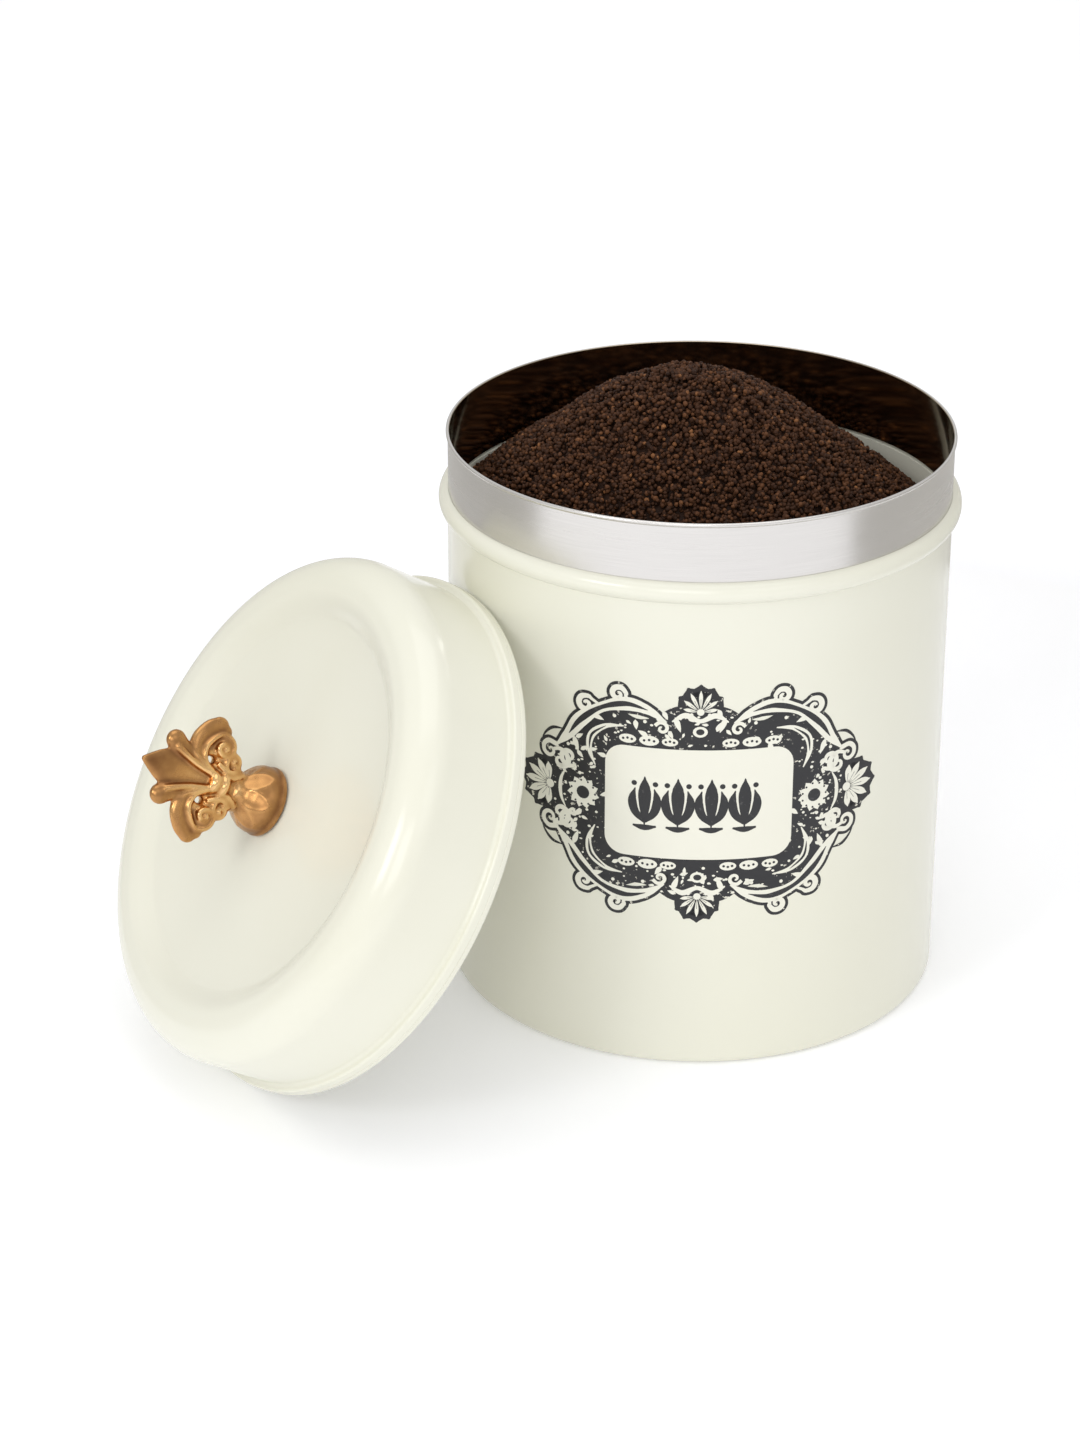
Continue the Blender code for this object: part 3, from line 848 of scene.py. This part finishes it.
VOXEL = 0.30 * MM
knob_skin = pressed(clay, VOXEL, 9)
for vert in knob_skin.verts:  # the foot stands flat on the lid
    vert.co.z = max(vert.co.z, 0.0)
bmesh.ops.transform(knob_skin, matrix=KNOB_PLACE, verts=knob_skin.verts)
knob = piece("knob_fine", knob_skin, [GILT], "knob", ["knob_casting"], 80.0)
HEART_HEIGHT = 18 * MM  # the band's middle above the lid
mark_wash_and_shade(knob, KNOB_PLACE @ Vector((0, 0, HEART_HEIGHT)))

# %% [markdown]
# ## The printed cartouche
#
# A baroque frame is printed on the front. It is drawn flat, in millimetres from its own centre, as
# three coats: the dark ground, the cream scrolls on it, and fine dark lines on those. Strips of
# changing width make the scrolls, and short leaves fan out into shells. The scrolls are listed for
# one quarter and mirrored into the other three. Each coat is then wrapped round the tin, a little
# thicker than the one below.


# %% Drawing tools
def strip(body, line, widths):
    """A flat strip along a smooth line, grown edge by edge; its width is a smooth curve too."""
    line = smooth_line([(*point, 0.0) for point in line], 7)
    width_line = smooth_line([(0.0, width, 0.0) for width in widths], 12)
    edge = None
    for index, at in enumerate(line):
        along = (line[min(index + 1, len(line) - 1)] - line[max(index - 1, 0)]).normalized()
        side = Vector((-along.y, along.x, 0))
        share = index / (len(line) - 1) * (len(width_line) - 1)
        half = max(width_line[round(share)].y / 2, 0.04)
        ends = (at + side * half, at - side * half)
        if edge is None:
            edge = body.edges.new([body.verts.new((end.x, 0.0, end.y)) for end in ends])
            continue
        pair = {edge.verts[0]: 0, edge.verts[1]: 1}
        grown = bmesh.ops.extrude_edge_only(body, edges=[edge])["geom"]
        edge = next(item for item in grown if isinstance(item, bmesh.types.BMEdge))
        for vert in edge.verts:
            others = [other.other_vert(vert) for other in vert.link_edges if other is not edge]
            end = ends[pair[next(other for other in others if other in pair)]]
            vert.co = (end.x, 0.0, end.y)


def filled(body, outline):
    """A flat shape inside a closed outline."""
    face = body.faces.new([body.verts.new((x, 0.0, z)) for x, z in outline])
    bmesh.ops.triangulate(body, faces=[face])


def disc(body, x, z, radius, tall=1.0):
    """A round dot, or an oval one."""
    place = Matrix.Translation((x, 0, z)) @ Matrix.Rotation(math.pi / 2, 4, "X")
    place = place @ Matrix.Diagonal((1.0, tall, 1.0, 1.0))
    bmesh.ops.create_circle(body, cap_ends=True, segments=16, radius=radius, matrix=place)


def spiral(x, z, radius, start, turns, steps=9):
    """Points of a curl that winds in on (x, z) from an angle in degrees."""
    line = []
    for step in range(steps + 1):
        share = step / steps
        angle = math.radians(start + 360 * turns * share)
        reach = radius * (1 - 0.86 * share)
        line.append((x + reach * math.cos(angle), z + reach * math.sin(angle)))
    return line


def leaf(body, x, z, angle, length, width, inset=0.0):
    """A pointed leaf that grows from (x, z) at an angle in degrees."""
    away = Vector((math.cos(math.radians(angle)), math.sin(math.radians(angle))))
    start = Vector((x, z)) + away * inset
    end = Vector((x, z)) + away * (length - inset)
    thick = max(width - 2 * inset, 0.1)
    quarter = start.lerp(end, 0.35)
    strip(body, [start, quarter, start.lerp(end, 0.7), end], [0.1, thick * 0.8, thick, 0.1])


# %% The three coats
ground, scrolls, lines = bmesh.new(), bmesh.new(), bmesh.new()
PLATE_HALF = (25.7, 16.4)
PLATE_CORNER = 5.4


def mirrored(points, side, flip=1):
    """The same points on the other half, or upside down."""
    return [(side * x, flip * z) for x, z in points]


def rounded_plate():
    """The plate's outline: a rectangle whose corners are round."""
    outline = []
    for quarter, (side, flip) in enumerate(((1, 1), (-1, 1), (-1, -1), (1, -1))):
        centre = (side * (PLATE_HALF[0] - PLATE_CORNER), flip * (PLATE_HALF[1] - PLATE_CORNER))
        outline += arc(centre, PLATE_CORNER, 90 * quarter, 90 * quarter + 90, 8)
    return outline


def ring(body, outline, width):
    """A line of even width round a closed outline."""
    count = len(outline)
    points = [Vector(point) for point in outline]
    first = []
    for index, at in enumerate(points):
        along = (points[(index + 1) % count] - points[index - 1]).normalized()
        side = Vector((-along.y, along.x)) * width / 2
        first.append((at + side, at - side))
    loops = []
    for end in (0, 1):
        verts = [body.verts.new((pair[end].x, 0.0, pair[end].y)) for pair in first]
        loops += [body.edges.new(pair) for pair in zip(verts, verts[1:] + verts[:1])]
    bmesh.ops.bridge_loops(body, edges=loops)


def scroll(points, widths, side, flip, vein=0.0):
    """A cream scroll with a dark edge, and a dark vein if it is wide enough."""
    path = mirrored(points, side, flip)
    strip(ground, path, [width + 1.8 for width in widths])
    strip(scrolls, path, widths)
    if vein:
        narrowed = [vein * width / max(widths) for width in widths[1:-1]]
        strip(lines, path[1:-1], [0.1] + narrowed + [0.1])


def shell(x, z, angle, reach, petals, spread):
    """A fan of leaves with dark edges, and a bead where they meet."""
    for petal in range(petals):
        share = petal / (petals - 1) * 2 - 1
        tilt = angle + spread * share
        length = reach * (1 - 0.22 * share * share)
        width = reach * spread / 57.3 * 2 / petals * 1.15  # 57.3 degrees to the radian
        leaf(ground, x, z, tilt, length + 0.5, width + 2.2)
        leaf(scrolls, x, z, tilt, length - 0.4, width * 0.80, 0.9)
        leaf(lines, x, z, tilt, length * 0.66, 0.65, 1.2)
    disc(ground, x, z, reach * 0.28)
    disc(scrolls, x, z, reach * 0.13)


# %% Ground and plate
QUARTER = [(43.0, 0.0), (43.6, 5.5), (41.5, 11.5), (38.0, 16.0), (36.2, 20.5), (32.0, 23.4)]
QUARTER += [(27.5, 26.6), (22.0, 26.8), (17.0, 24.6), (12.5, 25.4), (8.0, 28.4), (4.0, 29.6)]
QUARTER += [(0.0, 30.0)]
upper = QUARTER + mirrored(QUARTER[-2:0:-1], -1)
lower = mirrored(QUARTER, -1, -1) + mirrored(QUARTER[-2:0:-1], 1, -1)
outline = [(point.x, point.y) for point in smooth_line([(*p, 0.0) for p in upper + lower], 4)]
filled(ground, outline)
print("ground outline:", len(outline), "points")
filled(scrolls, rounded_plate())
ring(ground, rounded_plate(), 0.55)
for flip in (-1, 1):  # eggs along the upper and lower edges of the plate
    for x, wide in ((-19.5, 2.4), (-13.6, 2.7), (-8.0, 2.2), (8.2, 2.3), (13.9, 2.6), (19.8, 2.3)):
        disc(scrolls, x, flip * 18.5, wide, 0.55)
        for dot in (-1, 0, 1):
            disc(lines, x + dot * wide * 0.5, flip * (18.7 - 0.25 * abs(dot)), 0.36)

# %% Scrolls, curls and shells
PALE_DOTS = [(34.5, 17.8), (36.8, 13.4), (23.2, 24.6), (14.8, 24.0), (33.2, 5.6), (39.8, 6.4)]
PALE_DOTS += [(2.4, 26.8)]
FILLERS = [(33.6, 12.0, 70, 4.6), (26.2, 22.8, 20, 4.2), (5.2, 21.6, 70, 4.6)]
DARK_DOTS = [(20.0, 28.6), (23.0, 28.0), (26.0, 26.9), (31.6, 23.0), (34.0, 20.4)]
ROSETTE = 32.2  # from the middle of the plate to the middle of each rosette
PETALS = 11
for side in (-1, 1):
    for flip in (-1, 1):
        # the long outer scroll, from the crest over the corner and down to the side shell
        outer = [(9.0, 24.2), (14.0, 27.4), (20.0, 28.6), (27.0, 26.4), (33.0, 21.6)]
        outer += [(36.6, 16.6), (40.4, 12.4)]
        scroll(outer, [0.5, 2.6, 4.0, 2.9, 4.2, 3.0, 0.6], side, flip, 1.7)
        curl = [(40.2, 12.6)] + spiral(42.6, 10.2, 2.9, 130, -1.2)
        scroll(curl, [1.5, 1.3, 1.0, 0.6], side, flip)
        # curls that stand out at the corner
        curl = [(17.5, 28.0), (20.0, 30.6)] + spiral(22.3, 31.2, 2.3, 170, -1.25)
        scroll(curl, [0.6, 1.6, 1.2, 0.7], side, flip)
        curl = [(25.5, 26.0), (29.5, 28.2)] + spiral(31.6, 26.6, 2.5, 110, -1.25)
        scroll(curl, [0.6, 1.7, 1.3, 0.7], side, flip)
        # the inner leaf, bent round the corner of the plate
        inner = [(28.6, 9.0), (30.4, 13.6), (29.6, 18.0), (25.6, 21.2), (20.6, 22.0)]
        scroll(inner, [0.3, 1.5, 2.1, 1.4, 0.3], side, flip, 0.7)
        scroll(spiral(39.3, 8.0, 3.6, 40, 1.1), [0.9, 1.7, 1.2, 0.7], side, flip)
        scroll([(35.0, 6.0)] + spiral(36.6, 9.6, 3.0, 230, 1.2), [0.8, 1.5, 1.1, 0.6], side, flip)
        scroll(spiral(10.2, 22.4, 2.0, 20, 1.2), [1.0, 1.0, 0.8, 0.5], side, flip)
        # leaves and dots that fill the ground between them
        for x, z, angle, length in FILLERS:
            turn = angle if side > 0 else 180 - angle
            leaf(scrolls, side * x, flip * z, turn * flip, length, 1.5)
        for x, z in PALE_DOTS:
            disc(scrolls, side * x, flip * z, 0.5)
        for x, z in DARK_DOTS:
            disc(lines, side * x, flip * z, 0.26)
        # hair-thin flourishes outside the frame
        flick = [(38.5, 17.5), (41.8, 17.0), (44.4, 14.6), (45.6, 11.6)]
        strip(ground, mirrored(flick, side, flip), [0.3, 0.9, 0.6, 0.2])
    # rosettes beside the plate, and the side shells
    for petal in range(PETALS):
        tilt = 33 * petal
        leaf(scrolls, side * ROSETTE, 0.0, tilt - 75, 5.2, 2.9, 0.4)
        seed = arc((side * ROSETTE, 0.0), 3.6, tilt, tilt, 1)[0]
        disc(lines, *seed, 0.3)
    disc(lines, side * ROSETTE, 0.0, 1.9)
    disc(lines, side * ROSETTE, 0.0, 0.6)
    bracket = [(37.6, 5.6), (38.9, 3.0), (39.3, 0.0), (38.9, -3.0), (37.6, -5.6)]
    strip(scrolls, mirrored(bracket, side), [0.3, 0.9, 1.1, 0.9, 0.3])
    shell(side * 42.6, 0.0, 90 - side * 90, 9.8, 7, 84)
# the crests above and below the plate, each with a wave under its shell
shell(0.0, 27.6, 90, 7.6, 7, 80)
shell(0.0, -27.6, -90, 7.6, 7, 80)
wave = [(-7.5, 24.6), (-4.0, 26.6), (0.0, 25.0), (4.0, 26.6), (7.5, 24.6)]
for flip in (-1, 1):
    scroll(wave, [0.4, 1.6, 1.2, 1.6, 0.4], 1, flip)
    disc(scrolls, 0.0, flip * 21.8, 2.0, 0.8)
    disc(lines, 0.0, flip * 21.8, 1.1, 0.8)
print("faces in ground, scrolls and lines:", [len(coat.faces) for coat in (ground, scrolls, lines)])

# %% Small leaves and dots on the ground
SMALL_SHAPES = 260
print_rng = np.random.default_rng(5)
small = 0
while small < SMALL_SHAPES:
    x, z = print_rng.uniform(-41, 41), print_rng.uniform(-27, 27)
    outside_plate = max(abs(x) - PLATE_HALF[0], abs(z) - PLATE_HALF[1])
    if outside_plate < 1.4 or math.hypot(x / 43, z / 27.5) > 1:
        continue
    size = print_rng.uniform(0.5, 1.15)
    if small % 3:
        disc(scrolls, x, z, size * 0.42, print_rng.uniform(0.5, 1.0))
    else:
        leaf(scrolls, x, z, print_rng.uniform(0, 360), size * 2.8, size * 1.3)
    small += 1
print("small leaves and dots:", small)

# %% [markdown]
# Four upright fleurons stand in a row on the plate, a little left of its middle, drawn with the
# same leaves, strips and dots.

# %% Fleurons on the plate
FLEURONS, FIRST_FLEURON, FLEURON_PITCH = 4, -14.6, 9.0
for place in range(FLEURONS):
    x = FIRST_FLEURON + FLEURON_PITCH * place
    leaf(lines, x, -7.0, 90, 14.8, 3.4)
    strip(lines, [(x - 3.2, -7.0), (x, -7.5), (x + 3.2, -7.0)], [0.5, 1.7, 0.5])
    for side in (-1, 1):
        wing = [(x, -5.6), (x + side * 2.5, -3.0), (x + side * 3.4, 0.6), (x + side * 2.6, 4.2)]
        strip(lines, wing, [1.2, 2.2, 2.3, 0.2])
        disc(lines, x + side * 2.9, 5.6, 0.75)
print("fleurons:", FLEURONS)

# %% Wrap the coats round the tin
PRINT_ANGLE = math.radians(-1.5)
PRINT_HEIGHT = 80.6 * MM
PRINT_BACK = 0.015 * MM  # the back of every coat is just clear of the wall
CUT_REACH, CUT_EVERY = 56.0, 2.0


def wrapped(body, thickness):
    """Cuts a flat drawing into narrow strips, gives it a little thickness and bends it round."""
    for x in np.arange(-CUT_REACH, CUT_REACH + 0.1, CUT_EVERY):
        crossing = []
        for face in body.faces:
            reach = [vert.co.x for vert in face.verts]
            if min(reach) < x < max(reach):
                crossing.append(face)
        edges = {edge for face in crossing for edge in face.edges}
        verts = {vert for face in crossing for vert in face.verts}
        touched = list(verts) + list(edges) + crossing
        bmesh.ops.bisect_plane(body, geom=touched, dist=1e-6, plane_co=(x, 0, 0), plane_no=(1, 0, 0))
    bmesh.ops.recalc_face_normals(body, faces=body.faces)
    down = [face for face in body.faces if face.normal.y > 0]
    bmesh.ops.reverse_faces(body, faces=down)
    lifted = bmesh.ops.extrude_face_region(body, geom=list(body.faces), use_keep_orig=True)["geom"]
    top = {item for item in lifted if isinstance(item, bmesh.types.BMVert)}
    for vert in body.verts:
        radius = body_radius + (thickness if vert in top else PRINT_BACK)
        angle = PRINT_ANGLE + vert.co.x * MM / body_radius
        height = PRINT_HEIGHT + vert.co.z * MM
        vert.co = (radius * math.sin(angle), -radius * math.cos(angle), height)
    bmesh.ops.recalc_face_normals(body, faces=body.faces)
    return body


for name, body, thickness, coat in (
    ("print_ground", ground, 0.045 * MM, INK),
    ("print_scrolls", scrolls, 0.075 * MM, PRINT_CREAM),
    ("print_lines", lines, 0.105 * MM, FINE_INK),
):
    piece(name, wrapped(body, thickness), [coat], "canister")

# %% [markdown]
# ## The contents
#
# Rolled granules stand in a heap above the tin's neck. Poured grain comes to rest as a cone with a
# rounded top. A mound has that shape a little lower, and its underside runs straight from the rim
# to the middle, because the tin hides it. The mound has the darkest shade of the grains: it is
# painted shadow that shows in the gaps between them. Many small grains are scattered over the mound,
# each one a rough pebble of twenty faces, turned and stretched at random from a fixed seed.

# %% Mound
HEAP_TOP = 176.0 * MM
HEAP_PEAK = (-3.5 * MM, 6.0 * MM)
HEAP_SLOPE = 0.86
HEAP_SOFT = 22.0 * MM  # how far the cone's tip is rounded off
MOUND_SUNK = 2.0 * MM  # the mound is this far below the heap that the grains make
heap_radius = body_radius - SHEET - 0.4 * MM


def heap_height(x, y):
    """Height of the mound at a point: a soft cone whose peak is a little off the axis."""
    away = np.hypot(x - HEAP_PEAK[0], y - HEAP_PEAK[1])
    return HEAP_TOP - (np.hypot(HEAP_SLOPE * away, HEAP_SOFT) - HEAP_SOFT)


def give_shades(made, shades):
    """Stores one shade for each point, for the finish to read."""
    attribute = made.data.attributes.new("shade", "FLOAT", "POINT")
    attribute.data.foreach_set("value", shades.astype(np.float32))


UNDER_LEVEL, TOP_LEVEL = 12 * MM, 100 * MM  # apart while the mound is spun, then both move up
MOUND_STEPS = 40
mound_line = [(0.0, UNDER_LEVEL), (heap_radius, UNDER_LEVEL)]
mound_line += [(heap_radius * step / MOUND_STEPS, TOP_LEVEL) for step in range(MOUND_STEPS, -1, -1)]
mound = turned(mound_line, 128)
for vert in mound.verts:
    vert.co.z = heap_height(vert.co.x, vert.co.y) - MOUND_SUNK
shadow_mound_piece = piece("contents_shadow_mound", mound, [GRANULE], "canister")
# shade 0 is the darkest colour: the mound is painted shadow in the gaps between the grains
give_shades(shadow_mound_piece, np.zeros(len(shadow_mound_piece.data.vertices)))
print("at the wall the heap is", round(heap_height(heap_radius, 0.0) / MM, 1), "mm high")

# %% Grains
rng = np.random.default_rng(11)
BATCHES = 11
DOUBLINGS = 11
GRAINS = 2**DOUBLINGS  # in each batch


def handful():
    """A mesh of many like pebbles, made from one by doubling it again and again."""
    body = bmesh.new()
    bmesh.ops.create_icosphere(body, subdivisions=1, radius=1.0)
    for _ in range(DOUBLINGS):
        copy = bpy.data.meshes.new("copy")
        body.to_mesh(copy)
        body.from_mesh(copy)
        bpy.data.meshes.remove(copy)
    return body


def turns(angles, first, second):
    """A stack of rotations in the plane of two axes."""
    stack = np.tile(np.eye(3), (len(angles), 1, 1))
    stack[:, first, first] = stack[:, second, second] = np.cos(angles)
    stack[:, first, second] = -np.sin(angles)
    stack[:, second, first] = np.sin(angles)
    return stack


def grains(name):
    """Scatters a handful of grains over the mound, each with its own turn, stretch and shade."""
    made = piece(name, handful(), [GRANULE], "canister", smooth=50.0)
    points = read(made.data.vertices, "co", 3).reshape(GRAINS, -1, 3)
    corners = points.shape[1]
    points = points * rng.uniform(0.82, 1.14, (GRAINS, corners, 1))  # a rough skin
    points = points * rng.uniform(0.82, 1.2, (GRAINS, 1, 3))  # longer one way than another
    points = points * rng.uniform(0.50, 0.80, (GRAINS, 1, 1)) * MM
    angles = rng.uniform(0, 2 * math.pi, (2, GRAINS))
    turn = turns(angles[0], 0, 1) @ turns(angles[1], 1, 2)
    r = heap_radius * np.sqrt(rng.random(GRAINS)) * 0.994
    angle = rng.uniform(0, 2 * math.pi, GRAINS)
    swell = 0.7 * MM * np.sin(3 * angle + r * 90) * np.sin(r * 160)  # the heap is a little uneven
    x, y = r * np.cos(angle), r * np.sin(angle)
    height = heap_height(x, y) + rng.uniform(-1.9, 0.35, GRAINS) * MM + swell
    centre = np.stack([x, y, np.minimum(height, HEAP_TOP - 0.5 * MM)], 1)
    placed = np.einsum("gij,gpj->gpi", turn, points) + centre[:, None]
    made.data.vertices.foreach_set("co", placed.ravel())
    made.data.update()
    give_shades(made, np.repeat(rng.beta(1.6, 2.2, GRAINS), corners))


for batch in range(BATCHES):
    grains(f"contents_grains_{batch + 1}")
print("grains:", BATCHES * GRAINS)
